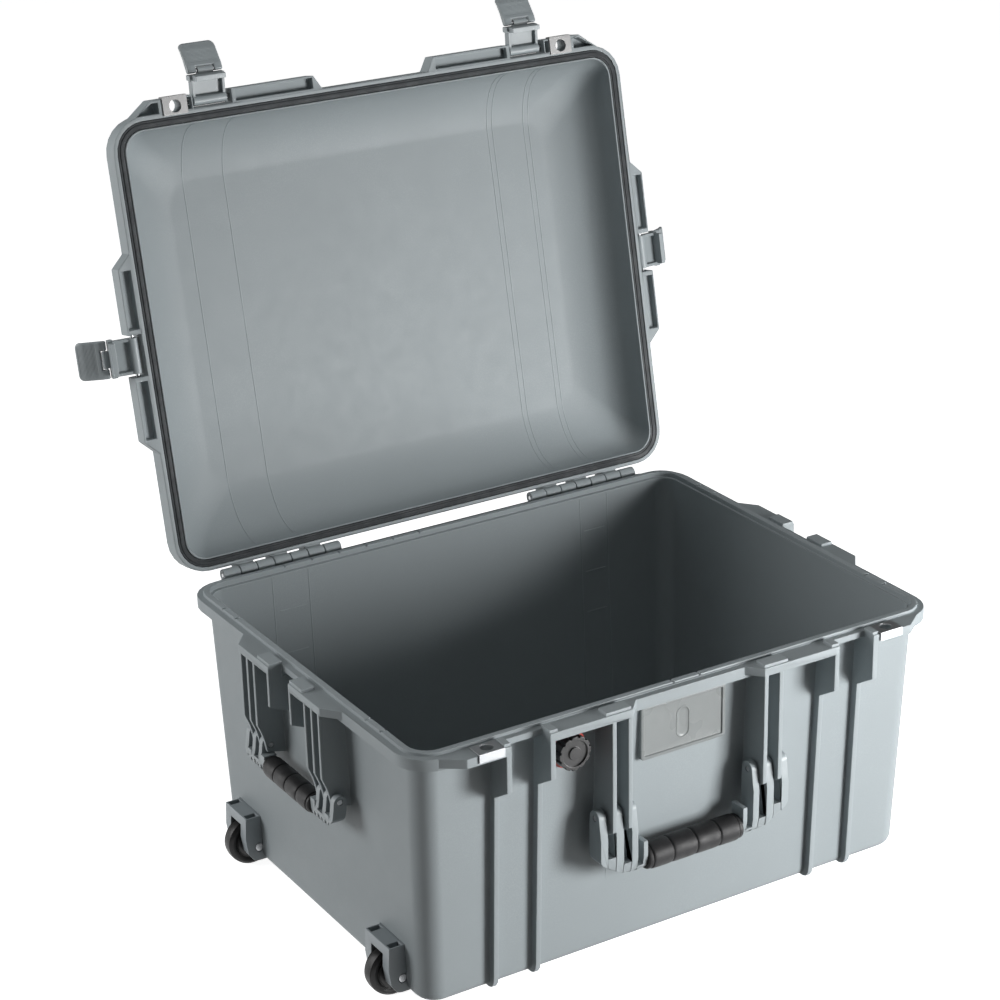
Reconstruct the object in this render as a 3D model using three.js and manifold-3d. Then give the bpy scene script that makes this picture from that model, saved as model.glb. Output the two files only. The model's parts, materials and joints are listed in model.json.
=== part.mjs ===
// Wheeled protective transport case: deep base shell, hinged lid, four
// double-throw latches, three folding handles, two wheels and a retractable
// pull handle. Millimetres, +Z up. X runs along the length, the front with the
// main handle faces -Y, the wheels are at the -X end. The origin is the middle
// of the centre runner's underside, on the ground plane.
// The lid is modelled shut and turned open about its hinge by LID_OPEN.
import * as THREE from "three";
import { mergeVertices } from "three/addons/utils/BufferGeometryUtils.js";
import Module from "manifold-3d";

const wasm = await Module();
wasm.setup();

// ---------------------------------------------------------------- dimensions
const LID_OPEN = 101.45;      // how far the lid stands open, degrees
const Z_FLOOR = 10;           // underside of the base's floor panel
const Z_FLANGE = 262;         // top of the base's rim flange
const Z_RIDGE = 265;          // top of the sealing ridge
const Z_LID = 265.5;          // lid's mating face, shut
const FLANGE_X = 280, FLANGE_Y = 217, FLANGE_R = 32.5, FLANGE_T = 11.5;
const BLOCK_OUT = 13.4;       // how far latch and handle blocks stand out of the flange
const SHELF_T = 8;            // thickness of those blocks' top shelf
const OPEN_X = 267.5, OPEN_Y = 204.8, OPEN_R = 20;  // opening inside the ridge
const WALL = 3.2;             // wall thickness
const TOP_X = 268.8, TOP_Y = 203.7, WALL_R = 20;    // outer wall under the flange
const DRAFT_X = 6.2, DRAFT_Y = 10.4;                // how much narrower it is at the floor
const HINGE_Y = 223.7, HINGE_Z = 262.6;
const HINGE_X0 = 110, HINGE_X1 = 238, KNUCKLES = 7;
const LATCH_X = 173.5;        // middle of each front latch
const SEAT_HALF = 19.2;       // half gap between a latch seat's ribs
const EAR_HALF = 20;          // half gap between the lid's latch ears
const LATCH_PIVOT_OUT = 6.5;  // latch pivot outside the flange
const LATCH_PIVOT_Z = 274;
const FRONT_LATCH_OPEN = 82, SIDE_LATCH_OPEN = 99;    // latch angle from latched
const LEVER_OPEN = 23;        // lever angle from flush with its arm
const RIB_T = 5.3, HRIB_T = 4.5, SRIB_T = 4;
const FRONT_PIVOT_Y = -217, FRONT_PIVOT_Z = 159;
const FRONT_GRIP_Y = -218, FRONT_GRIP_Z = 105.5, GRIP_R = 12.6;
const SIDE_PIVOT_OUT = 1, SIDE_PIVOT_Z = 169;          // out from the flange
const SIDE_GRIP_OUT = 3.5, SIDE_GRIP_Z = 150.5, SIDE_GRIP_R = 10.6;
const WHEEL_X = -266, WHEEL_Y = 138.5, WHEEL_R = 24.5, WHEEL_W = 16;
const HOUSE_Y0 = 117, HOUSE_Y1 = 160, HOUSE_X = -279, HOUSE_Z = 58;
const PULL_Y = 60, PULL_Z = 19;
const PLATE_X = 212.5, PLATE_Y = 222.4;

const COLOR = { shell: 0x9da3a6, inner: 0x8d9396, black: 0x1d1e1f, rubber: 0x151515, steel: 0xd4d7d8, red: 0xb8382c, clear: 0xb9c0c2 };
const mat = (c, r, m = 0) => new THREE.MeshStandardMaterial({ color: c, roughness: r, metalness: m });
const M = {
  shell: mat(COLOR.shell, 0.5), trim: mat(COLOR.shell, 0.45), black: mat(COLOR.black, 0.55), rubber: mat(COLOR.rubber, 0.8),
  steel: mat(COLOR.steel, 0.3, 1), red: mat(COLOR.red, 0.45), clear: new THREE.MeshStandardMaterial({ color: COLOR.clear, roughness: 0.1, transparent: true, opacity: 0.4 }),
};

// ------------------------------------------------------------------- helpers
const solid = (g) => {
  g = g.clone(); g.deleteAttribute("normal"); g.deleteAttribute("uv");
  g = mergeVertices(g, 1e-4);
  return new wasm.Manifold(new wasm.Mesh({ numProp: 3, vertProperties: new Float32Array(g.attributes.position.array), triVerts: new Uint32Array(g.index.array) }));
};
const geom = (m) => {
  const k = m.getMesh(); const g = new THREE.BufferGeometry(); const p = new Float32Array(k.numVert * 3);
  for (let i = 0; i < k.numVert; i++) for (let j = 0; j < 3; j++) p[i * 3 + j] = k.vertProperties[i * k.numProp + j];
  g.setAttribute("position", new THREE.BufferAttribute(p, 3)); g.setIndex(Array.from(k.triVerts)); g.computeVertexNormals();
  return g;
};
const union = (...a) => a.flat().reduce((x, y) => x.add(y));
const cut = (a, ...b) => b.flat().reduce((x, y) => x.subtract(y), a);
const box = (x0, x1, y0, y1, z0, z1) => solid(new THREE.BoxGeometry(x1 - x0, y1 - y0, z1 - z0).translate((x0 + x1) / 2, (y0 + y1) / 2, (z0 + z1) / 2));
// cylinders along X, Y and Z
const cylX = (r, x0, x1, y, z, n = 16) => solid(new THREE.CylinderGeometry(r, r, x1 - x0, n).rotateZ(Math.PI / 2).translate((x0 + x1) / 2, y, z));
const cylY = (r, y0, y1, x, z, n = 16) => solid(new THREE.CylinderGeometry(r, r, y1 - y0, n).translate(x, (y0 + y1) / 2, z));
const cylZ = (r, z0, z1, x, y, n = 16) => solid(new THREE.CylinderGeometry(r, r, z1 - z0, n).rotateX(Math.PI / 2).translate(x, y, (z0 + z1) / 2));
const poly = (pts) => new THREE.Shape(pts.map(([a, b]) => new THREE.Vector2(a, b)));
const ext = (shape, d) => new THREE.ExtrudeGeometry(shape, { depth: d, bevelEnabled: false, curveSegments: 8 });
const prismZ = (pts, z0, z1) => solid(ext(poly(pts), z1 - z0).translate(0, 0, z0));
// profile in (y, z), run along X
const prismX = (pts, x0, x1) => solid(ext(poly(pts), x1 - x0).applyMatrix4(new THREE.Matrix4().set(0, 0, 1, x0, 1, 0, 0, 0, 0, 1, 0, 0, 0, 0, 0, 1)));
// profile in (x, z), run along Y
const prismY = (pts, y0, y1) => solid(ext(poly(pts), y1 - y0).applyMatrix4(new THREE.Matrix4().set(1, 0, 0, 0, 0, 0, -1, y1, 0, 1, 0, 0, 0, 0, 0, 1)));
// rounded rectangle outline, counter-clockwise
const rring = (hx, hy, r, n = 6) => {
  const out = [];
  for (const [sx, sy, a0] of [[1, 1, 0], [-1, 1, 90], [-1, -1, 180], [1, -1, 270]])
    for (let i = 0; i <= n; i++) {
      const a = (a0 + (90 * i) / n) * Math.PI / 180;
      out.push([sx * (hx - r) + r * Math.cos(a), sy * (hy - r) + r * Math.sin(a)]);
    }
  return out;
};
const rprism = (hx, hy, r, z0, z1, n) => prismZ(rring(hx, hy, r, n), z0, z1);
// loft of rounded rectangles: rows of [z, half x, half y, corner radius]
const loft = (rows, n = 6) => {
  const pos = [], idx = []; const m = 4 * (n + 1);
  for (const [z, hx, hy, r] of rows) for (const [x, y] of rring(hx, hy, r, n)) pos.push(x, y, z);
  const k = rows.length;
  for (let j = 0; j < k - 1; j++) for (let i = 0; i < m; i++) {
    const a = j * m + i, b = j * m + (i + 1) % m, c = a + m, d = b + m;
    idx.push(a, b, d, a, d, c);
  }
  pos.push(0, 0, rows[0][0], 0, 0, rows[k - 1][0]);
  for (let i = 0; i < m; i++) { idx.push(k * m, (i + 1) % m, i); idx.push(k * m + 1, (k - 1) * m + i, (k - 1) * m + (i + 1) % m); }
  const g = new THREE.BufferGeometry(); g.setAttribute("position", new THREE.Float32BufferAttribute(pos, 3)); g.setIndex(idx);
  return solid(g);
};
const revolveY = (pts, x, y, z, n = 32) => solid(new THREE.LatheGeometry(pts.map(([r, h]) => new THREE.Vector2(r, h)), n).translate(x, y, z));
const mirrorX = (pts) => pts.map(([x, y]) => [-x, y]).reverse();
const circle = (cx, cy, r, a0, a1, n) => Array.from({ length: n + 1 }, (_, i) => { const a = (a0 + (a1 - a0) * i / n) * Math.PI / 180; return [cx + r * Math.cos(a), cy + r * Math.sin(a)]; });
// outline around two circles
const capsule = (ax, ay, ra, bx, by, rb, n = 8) => {
  const t = Math.atan2(by - ay, bx - ax) * 180 / Math.PI, d = Math.hypot(bx - ax, by - ay), k = Math.acos((ra - rb) / d) * 180 / Math.PI;
  return [...circle(ax, ay, ra, t + k, t + 360 - k, n), ...circle(bx, by, rb, t - k, t + k, n)];
};
const group = new THREE.Group();
const add = (name, m, material, parent = group) => { const o = new THREE.Mesh(geom(m), material); o.name = name; parent.add(o); return o; };
// a solid built for the front, turned to the left (-X) or right (+X) end
const toEnd = (m, side) => {
  const g = geom(m).rotateZ(side < 0 ? -Math.PI / 2 : Math.PI / 2).translate(side * (FLANGE_X - FLANGE_Y), 0, 0);
  return solid(g);
};

const wallX = (z) => TOP_X - DRAFT_X * (250 - Math.min(z, 250)) / 240;
const wallY = (z) => TOP_Y - DRAFT_Y * (250 - Math.min(z, 250)) / 240;
const OUT_Y = FLANGE_Y + BLOCK_OUT;

// ---------------------------------------------------------------- base shell
let base = loft([
  [Z_FLOOR, wallX(10) - 6.5, wallY(10) - 6.5, 15], [11.2, wallX(11) - 3.6, wallY(11) - 3.6, 17], [13.6, wallX(13) - 1.4, wallY(13) - 1.4, 19],
  [18, wallX(18), wallY(18), WALL_R], [250, TOP_X, TOP_Y, WALL_R], [Z_FLANGE - 2, TOP_X, TOP_Y, WALL_R]]);
base = union(base, rprism(FLANGE_X, FLANGE_Y, FLANGE_R, Z_FLANGE - FLANGE_T, Z_FLANGE), rprism(OPEN_X + 6, OPEN_Y + 6, OPEN_R + 6, Z_FLANGE - 1, Z_RIDGE));
// latch and handle blocks: plan of each shelf, for the front
const corner = [[-258, -214], [-236, -OUT_Y], [-LATCH_X - SEAT_HALF, -OUT_Y], [-LATCH_X - SEAT_HALF, -214]];
const handleShelf = [[-LATCH_X + SEAT_HALF, -214], [-LATCH_X + SEAT_HALF, -OUT_Y], [-70.5, -OUT_Y], [-58, -217], [-58, -214]];
const endShelf = [[-95, -214], [-95, -217], [-78, -OUT_Y], [-19, -OUT_Y], [-19, -214]];
const both = (pts, z0, z1) => union(prismZ(pts, z0, z1), prismZ(mirrorX(pts), z0, z1));
base = union(base, both(corner, Z_FLANGE - SHELF_T - 1, Z_FLANGE), both(handleShelf, Z_FLANGE - SHELF_T, Z_FLANGE));
for (const s of [-1, 1]) base = union(base, toEnd(both(endShelf, Z_FLANGE - SHELF_T, Z_FLANGE), s));
// locating tabs on the shelves
for (const [a, b] of [[146, 154.3], [192.7, 199.3], [71, 97]]) base = union(base, box(a, b, -OUT_Y + 1.5, -216, Z_FLANGE - 1, Z_RIDGE - 0.2), box(-b, -a, -OUT_Y + 1.5, -216, Z_FLANGE - 1, Z_RIDGE - 0.2));
const endTabs = union(box(19, 43, -OUT_Y + 1.5, -216, Z_FLANGE - 1, Z_RIDGE - 0.2), box(-43, -19, -OUT_Y + 1.5, -216, Z_FLANGE - 1, Z_RIDGE - 0.2));
for (const s of [-1, 1]) base = union(base, toEnd(endTabs, s));
// a deep rib under a shelf: front edge down to zf, then back to the wall
const deepRib = (x0, x1, zf, slope = 0.62) => prismX([[-198, Z_FLANGE - 4], [-OUT_Y, Z_FLANGE - 4], [-OUT_Y, zf], [-198, zf - slope * (OUT_Y - 198)]], x0, x1);
// a thin rib down a wall and under the floor's edge, y0 = side it stands on
const thinRib = (x0, x1, z1) => {
  const h = wallY(22), d = 7;
  return prismX([[-wallY(z1) + 1.5, z1], [-wallY(z1) - d, z1], [-h - d, 22], [-h - d + 1.2, 15], [-h - d + 4.6, 10.4], [-h - d + 9, 8.6], [-h + 24, 8.6], [-h + 26, Z_FLOOR + 1], [-h + 8, Z_FLOOR + 1], [-h + 1.5, 17]], x0, x1);
};
const flipY = (m) => solid(geom(m).rotateZ(Math.PI));
for (const x of [LATCH_X + SEAT_HALF, LATCH_X - SEAT_HALF - RIB_T]) {
  for (const [a, b] of [[x, x + RIB_T], [-x - RIB_T, -x]]) {
    base = union(base, deepRib(a, b, 218.2), thinRib(a, b, 206), flipY(thinRib(a, b, 252)));
  }
}
const HR1 = 87, HR2 = 70.5;   // inner faces of the two handle ribs
for (const x of [HR1, HR2]) for (const [a, b] of [[x, x + HRIB_T], [-x - HRIB_T, -x]]) base = union(base, deepRib(a, b, 147, 0.62));
const SR = [19, 47, 60, 73];  // inner faces of the end blocks' ribs
let endRibs = null;
for (const x of SR) {
  const zf = x === 19 ? 222 : 192;
  for (const [a, b] of [[x, x + SRIB_T], [-x - SRIB_T, -x]]) {
    const low = x === 19 ? [[-FLANGE_Y + 14, zf - 12]] : [[-FLANGE_Y - 9, zf - 11], [-FLANGE_Y - 6.6, zf - 20], [-FLANGE_Y - 5, zf - 29], [-FLANGE_Y + 15.6, zf - 34]];
    const r = prismX([[-FLANGE_Y + 14, Z_FLANGE - 4], [-OUT_Y, Z_FLANGE - 4], [-OUT_Y, zf], ...low], a, b);
    endRibs = endRibs ? union(endRibs, r) : r;
  }
}
for (const s of [-1, 1]) base = union(base, toEnd(endRibs, s));
// hinge knuckles on the back
const KW = (HINGE_X1 - HINGE_X0) / KNUCKLES;
const knuckle = (x0, x1, onBase) => union(
  cylX(6, x0, x1, HINGE_Y, HINGE_Z, 18),
  onBase ? prismX([[214, Z_FLANGE - 0.5], [214, 252], [218, 251], [HINGE_Y + 5, HINGE_Z - 3.4], [HINGE_Y, HINGE_Z]], x0, x1)
    : prismX([[HINGE_Y, HINGE_Z], [HINGE_Y + 5.4, HINGE_Z + 2.6], [HINGE_Y + 2, 279], [214, 282], [214, Z_LID], [HINGE_Y - 5.6, Z_LID]], x0, x1));
for (const s of [-1, 1]) for (let i = 0; i < KNUCKLES; i += 2) {
  const a = HINGE_X0 + i * KW + 0.4, b = HINGE_X0 + (i + 1) * KW - 0.4;
  base = union(base, knuckle(s > 0 ? a : -b, s > 0 ? b : -a, true));
}
// runners under the floor
base = union(base, box(-200, 225, -7, 7, 0, Z_FLOOR + 1));
for (const s of [-1, 1]) base = union(base, box(-205, 225, s > 0 ? 158 : -172, s > 0 ? 172 : -158, 0, Z_FLOOR + 1));
// purge valve boss, under the left shelf
const VX = -124, VZ = 231, VR = 16;
base = union(base, cylY(14, -206.5, -202, VX, VZ, 28));
// cavity, with a step round the opening and room for wheels and pull handle
const inset = (z, d) => [z, wallX(z) - d, wallY(z) - d, WALL_R - WALL];
let cavity = loft([[Z_FLOOR + WALL, wallX(14) - 9, wallY(14) - 9, 12], [Z_FLOOR + WALL + 1.6, wallX(14) - 5.6, wallY(14) - 5.6, 14], [19, wallX(19) - WALL - 0.6, wallY(19) - WALL - 0.6, 16], inset(24, WALL), [250, TOP_X - WALL, TOP_Y - WALL, WALL_R - WALL], [260.5, TOP_X - WALL, TOP_Y - WALL, WALL_R - WALL]]);
const pocketIn = [], pocketOut = [];
for (const s of [-1, 1]) {
  const y = (d, e) => (s > 0 ? [d, e] : [-e, -d]);
  const a = y(HOUSE_Y0 - 3.6, HOUSE_Y1 + 3.6), b = y(HOUSE_Y0 - 0.4, HOUSE_Y1 + 0.4);
  pocketIn.push(box(-290, -232.8, a[0], a[1], 0, HOUSE_Z + 3.6)); pocketOut.push(box(-290, -236, b[0], b[1], -1, HOUSE_Z + 0.4));
  const c = y(PULL_Y - 15, PULL_Y + 15), d = y(PULL_Y - 12, PULL_Y + 12);
  pocketIn.push(box(-163, 270, c[0], c[1], 0, 30.6)); pocketOut.push(box(-160, 270, d[0], d[1], -1, 27.3));
}
pocketIn.push(box(236.8, 290, -83, 83, 0, 43)); pocketOut.push(box(240, 290, -80, 80, -1, 40));
cavity = cut(cavity, pocketIn);
base = cut(base, cavity, rprism(OPEN_X, OPEN_Y, OPEN_R, 260, 270), pocketOut);
// the latch hooks catch under a thinner lip at each seat
for (const x of [-LATCH_X, LATCH_X]) base = cut(base, box(x - SEAT_HALF, x + SEAT_HALF, -219, -205.4, 249, 256));
for (const s of [-1, 1]) base = cut(base, toEnd(box(-18.8, 18.8, -219, -205.4, 249, 256), s));
// vent notches across the sealing ridge
for (const x of [-14, 14]) base = cut(base, box(x - 0.9, x + 0.9, -214, -200, Z_RIDGE - 1.4, Z_RIDGE + 1));
for (const x of [-180, -150, -120, -90, -60, -30]) base = cut(base, box(x - 0.9, x + 0.9, 200, 214, Z_RIDGE - 1.4, Z_RIDGE + 1));
for (const y of [-150, -124, 124, 150]) base = cut(base, box(-276, -264, y - 0.9, y + 0.9, Z_RIDGE - 1.4, Z_RIDGE + 1), box(264, 276, y - 0.9, y + 0.9, Z_RIDGE - 1.4, Z_RIDGE + 1));
// pin bores
base = cut(base, cylX(3, -104, -60, FRONT_PIVOT_Y, FRONT_PIVOT_Z), cylX(3, 60, 104, FRONT_PIVOT_Y, FRONT_PIVOT_Z));
const sideBore = union(cylX(3, 45, 90, -FLANGE_Y - SIDE_PIVOT_OUT, SIDE_PIVOT_Z), cylX(3, -90, -45, -FLANGE_Y - SIDE_PIVOT_OUT, SIDE_PIVOT_Z));
for (const s of [-1, 1]) base = cut(base, toEnd(sideBore, s));
base = cut(base, cylX(2.6, -HINGE_X1 - 2, -HINGE_X0 + 2, HINGE_Y, HINGE_Z), cylX(2.6, HINGE_X0 - 2, HINGE_X1 + 2, HINGE_Y, HINGE_Z));
// padlock holes and the valve's bore
for (const s of [-1, 1]) base = cut(base, cylZ(7, 240, 270, s * PLATE_X, -PLATE_Y, 20));
base = cut(base, cylY(8, -210, -190, VX, VZ, 20));
add("base_shell", base, M.shell);

// ------------------------------------------------------ fittings on the base
const plate = (s, z0, z1, lip0, lip1) => cut(union(box(s > 0 ? 200 : -225, s > 0 ? 225 : -200, -OUT_Y - 1.6, -214.5, z0, z1), box(s > 0 ? 200 : -225, s > 0 ? 225 : -200, -OUT_Y - 1.6, -OUT_Y - 0.4, lip0, lip1)), cylZ(6, z0 - 2, z1 + 2, s * PLATE_X, -PLATE_Y, 24));
add("base_padlock_plate_left", plate(-1, 262.4, 263.6, 255.4, 263.6), M.steel);
add("base_padlock_plate_right", plate(1, 262.4, 263.6, 255.4, 263.6), M.steel);
add("hinge_pin_left", cylX(2, -HINGE_X1 + 0.6, -HINGE_X0 - 0.6, HINGE_Y, HINGE_Z), M.steel);
add("hinge_pin_right", cylX(2, HINGE_X0 + 0.6, HINGE_X1 - 0.6, HINGE_Y, HINGE_Z), M.steel);
// purge valve: threaded body with nut inside the wall, red ring, ribbed cap
add("purge_valve_body", union(cylY(7.4, -212, -197, VX, VZ, 20), cylY(11, -198.6, -194.5, VX, VZ, 6)), M.black);
add("purge_valve_ring", cut(cylY(18.2, -210, -206.9, VX, VZ, 32), cylY(8, -215, -200, VX, VZ, 20)), M.red);
{
  let cap = cylY(VR, -222, -210.4, VX, VZ, 32);
  cap = cut(cap, cylY(7.9, -212.6, -205, VX, VZ, 20), cut(cylY(12.4, -224, -220.4, VX, VZ, 24), cylY(6, -226, -219, VX, VZ, 20)));
  for (let i = 0; i < 12; i++) { const a = (i * 30 + 15) * Math.PI / 180; cap = cut(cap, cylY(1.5, -224, -212.6, VX + VR * Math.cos(a), VZ + VR * Math.sin(a), 8)); }
  add("purge_valve_cap", cap, M.black);
}
// label window with a thumb slot, on the front wall between the handle ribs
{
  const lean = (m) => { const t = Math.atan2(DRAFT_Y, 240); return solid(geom(m).translate(0, 0, -220).rotateX(t).translate(0, -wallY(220), 220)); };
  let w = box(-45.5, 45.5, -3, -0.5, 193.5, 246);
  w = cut(w, box(-42.5, 42.5, -1.3, 0, 196.5, 243), cut(box(-6, 6, -4, -2.2, 204, 232)));
  add("label_window", lean(w), M.clear);
}

// -------------------------------------------------------------------- wheels
const tyreProfile = [[17.4, -6.4], [22, -WHEEL_W / 2], [23.6, -7.1], [WHEEL_R, -5], [WHEEL_R, 5], [23.6, 7.1], [22, WHEEL_W / 2], [17.4, 6.4], [17.4, -6.4]];
const hubProfile = [[4.6, -8.8], [8, -8.8], [8, -6], [14.6, -6], [17, -7.2], [17, 7.2], [14.6, 6], [8, 6], [8, 8.8], [4.6, 8.8], [4.6, -8.8]];
for (const [s, nm] of [[-1, "front"], [1, "rear"]]) {
  const yc = s * WHEEL_Y, y = (d, e) => (s > 0 ? [d, e] : [-e, -d]);
  const b = y(HOUSE_Y0, HOUSE_Y1);
  // block with rounded outer lower corner, a wheel slot, and weight-saving pockets in its top
  let h = prismY([[-236.4, 10.5], [-236.4, HOUSE_Z], [HOUSE_X, HOUSE_Z], [HOUSE_X - 1.2, 36], [HOUSE_X + 1, 20], [HOUSE_X + 7, 11.5], [HOUSE_X + 12, 10.5]], b[0], b[1]);
  h = cut(h, cylY(WHEEL_R + 3, yc - 10.2, yc + 10.2, WHEEL_X, WHEEL_R, 28), box(-300, WHEEL_X, yc - 10.2, yc + 10.2, 0, WHEEL_R + 20), box(WHEEL_X - 27.5, WHEEL_X + 27.5, yc - 10.2, yc + 10.2, 0, WHEEL_R));
  h = cut(h, cylY(4.6, yc - 30, yc + 30, WHEEL_X, WHEEL_R, 16));
  for (const q of [y(HOUSE_Y1 - 8, HOUSE_Y1 - 1.6), y(HOUSE_Y0 + 1.6, HOUSE_Y0 + 8)]) h = cut(h, box(HOUSE_X + 2, HOUSE_X + 13, q[0], q[1], HOUSE_Z - 11, HOUSE_Z + 1));
  add(`wheel_housing_${nm}`, h, M.shell);
  add(`wheel_axle_${nm}`, cylY(4, yc - 21.2, yc + 21.2, WHEEL_X, WHEEL_R, 20), M.steel);
  add(`wheel_tyre_${nm}`, revolveY(tyreProfile, WHEEL_X, yc, WHEEL_R, 36), M.rubber);
  add(`wheel_hub_${nm}`, revolveY(hubProfile, WHEEL_X, yc, WHEEL_R, 28), M.black);
}

// ---------------------------------------------------------- carrying handles
// front handle: two slotted arms, each with three tines beside the ribs, and a bar
{
  const low = [[-227.2, 112], [-225.2, 101], [-220, 96], [-213, 96], [-208.4, 103]];   // lower outline of an arm, front to back
  const arm = (sx) => {
    const X = (a, b) => (sx > 0 ? [a, b] : [-b, -a]);
    const side = [...circle(FRONT_PIVOT_Y, FRONT_PIVOT_Z, 7.5, 0, 180, 10), [-226, 148], [-227.4, 140], ...low, [-208.4, 148]];
    const tine = (a, b) => { const [p, q] = X(a, b); return prismX(side, p, q); };
    const web = (a, b, top) => { const [p, q] = X(a, b); return prismX([[-226.8, top], ...low.filter(([, w]) => w < top - 0.5).map(([u, w]) => [u * 0.9985, w]), [-208.8, top]], p, q); };
    return union(tine(94.4, 102), tine(77.6, 85.6), tine(62.6, 69.2), web(85, 95, 120), web(69, 78, 110.5), web(56, 63, 104), web(51.9, 56.6, 126));
  };
  let f = union(arm(-1), arm(1), cylX(7, -54, 54, FRONT_GRIP_Y, FRONT_GRIP_Z, 20));
  // the arms' lower edges climb towards the sides
  const under = [[-110, 84], [-110, 126], [-102.6, 120], [-99.6, 115], [-92, 109.6], [-84.3, 104.5], [-77, 100.4], [-70.5, 97.8], [-62, 96.6], [-50, 96.6], [-50, 84]];
  f = cut(f, prismY(under, -240, -200), prismY(mirrorX(under), -240, -200));
  f = cut(f, cylX(3, -104, -60, FRONT_PIVOT_Y, FRONT_PIVOT_Z), cylX(3, 60, 104, FRONT_PIVOT_Y, FRONT_PIVOT_Z));
  add("front_handle_frame", f, M.trim);
  let grip = cut(cylX(GRIP_R, -51.4, 51.4, FRONT_GRIP_Y, FRONT_GRIP_Z, 24), cylX(7.4, -60, 60, FRONT_GRIP_Y, FRONT_GRIP_Z, 20));
  for (const x of [-25.5, 0, 25.5]) grip = cut(grip, cut(cylX(GRIP_R + 2, x - 0.7, x + 0.7, FRONT_GRIP_Y, FRONT_GRIP_Z, 24), cylX(GRIP_R - 1, x - 2, x + 2, FRONT_GRIP_Y, FRONT_GRIP_Z, 24)));
  add("front_handle_grip", grip, M.rubber);
  add("front_handle_pin_left", cylX(2.5, -101.4, -63.2, FRONT_PIVOT_Y, FRONT_PIVOT_Z), M.steel);
  add("front_handle_pin_right", cylX(2.5, 63.2, 101.4, FRONT_PIVOT_Y, FRONT_PIVOT_Z), M.steel);
}
// end handles: the same pattern, shorter
{
  const py = -FLANGE_Y - SIDE_PIVOT_OUT, gy = -FLANGE_Y - SIDE_GRIP_OUT, pz = SIDE_PIVOT_Z, gz = SIDE_GRIP_Z;
  const low = [[gy - 6.8, gz - 1], [gy - 5.6, gz - 6], [gy - 2.4, gz - 9.4], [gy + 2.6, gz - 9.4], [gy + 6.2, gz - 5], [gy + 6.6, gz]];
  const side = [...circle(py, pz, 6.5, 0, 180, 8), [py - 7.4, pz - 8], ...low, [py + 6.2, pz - 8]];
  let f = null;
  for (const sx of [-1, 1]) {
    const X = (a, b) => (sx > 0 ? [a, b] : [-b, -a]);
    for (const [a, b] of [[52.4, 58.6], [65.4, 71.6], [78.4, 85]]) { const [p, q] = X(a, b); const t = prismX(side, p, q); f = f ? union(f, t) : t; }
    for (const [a, b, top] of [[44.8, 53, 160], [58, 66, 153], [71, 79, 156]]) { const [p, q] = X(a, b); f = union(f, prismX([[gy - 6.6, top], ...low.map(([u, w]) => [u * 0.9985, w]), [gy + 6.2, top]], p, q)); }
  }
  f = union(f, cylX(5.4, -48, 48, gy, gz, 18));
  const under = [[-92, 126], [-92, 158], [-85.4, 154], [-82, 149.6], [-76, 146.2], [-68, 143.2], [-58, 141.7], [-44, 141.7], [-44, 126]];
  f = cut(f, prismY(under, -250, -200), prismY(mirrorX(under), -250, -200));
  f = cut(f, cylX(3, -90, -45, py, pz), cylX(3, 45, 90, py, pz));
  let grip = cut(cylX(SIDE_GRIP_R, -44.2, 44.2, gy, gz, 22), cylX(5.8, -60, 60, gy, gz, 18));
  for (const x of [-22, 0, 22]) grip = cut(grip, cut(cylX(SIDE_GRIP_R + 2, x - 0.7, x + 0.7, gy, gz, 22), cylX(SIDE_GRIP_R - 1, x - 2, x + 2, gy, gz, 22)));
  for (const [s, nm] of [[-1, "left"], [1, "right"]]) {
    add(`${nm}_handle_frame`, toEnd(f, s), M.trim);
    add(`${nm}_handle_grip`, toEnd(grip, s), M.rubber);
    add(`${nm}_handle_pin_front`, toEnd(s < 0 ? cylX(2.5, 47.4, 84.4, py, pz) : cylX(2.5, -84.4, -47.4, py, pz), s), M.steel);
    add(`${nm}_handle_pin_rear`, toEnd(s < 0 ? cylX(2.5, -84.4, -47.4, py, pz) : cylX(2.5, 47.4, 84.4, py, pz), s), M.steel);
  }
}

// --------------------------------------------------------------- pull handle
for (const [s, nm] of [[-1, "front"], [1, "rear"]]) {
  const y = s * PULL_Y;
  add(`pull_sleeve_${nm}`, cut(cylX(8, -158, 238, y, PULL_Z, 18), cylX(5.9, -170, 250, y, PULL_Z, 18)), M.black);
  add(`pull_tube_${nm}`, cylX(5.2, -150, 270, y, PULL_Z, 18), M.steel);
}
{
  let g = prismY([[262, 13], [262, 33], [266, 37], [274, 37], [277.5, 32], [277.5, 17], [274, 13]], -77, 77);
  g = cut(g, box(256, 270.6, -PULL_Y - 5.6, -PULL_Y + 5.6, PULL_Z - 5.6, PULL_Z + 5.6), box(256, 270.6, PULL_Y - 5.6, PULL_Y + 5.6, PULL_Z - 5.6, PULL_Z + 5.6), box(268, 290, -14.5, 14.5, 19.5, 30.5));
  add("pull_grip", g, M.black);
  add("pull_release_button", prismY([[271.6, 20], [271.6, 30], [278.6, 30], [279.6, 28], [279.6, 22], [278.6, 20]], -14, 14), M.black);
}

// ----------------------------------------------------------------------- lid
const lidGroup = new THREE.Group();
lidGroup.position.set(0, HINGE_Y, HINGE_Z);
lidGroup.rotation.x = -LID_OPEN * Math.PI / 180;
group.add(lidGroup);
const shut = new THREE.Group();        // coordinates of the shut lid
shut.position.set(0, -HINGE_Y, -HINGE_Z);
lidGroup.add(shut);

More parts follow.
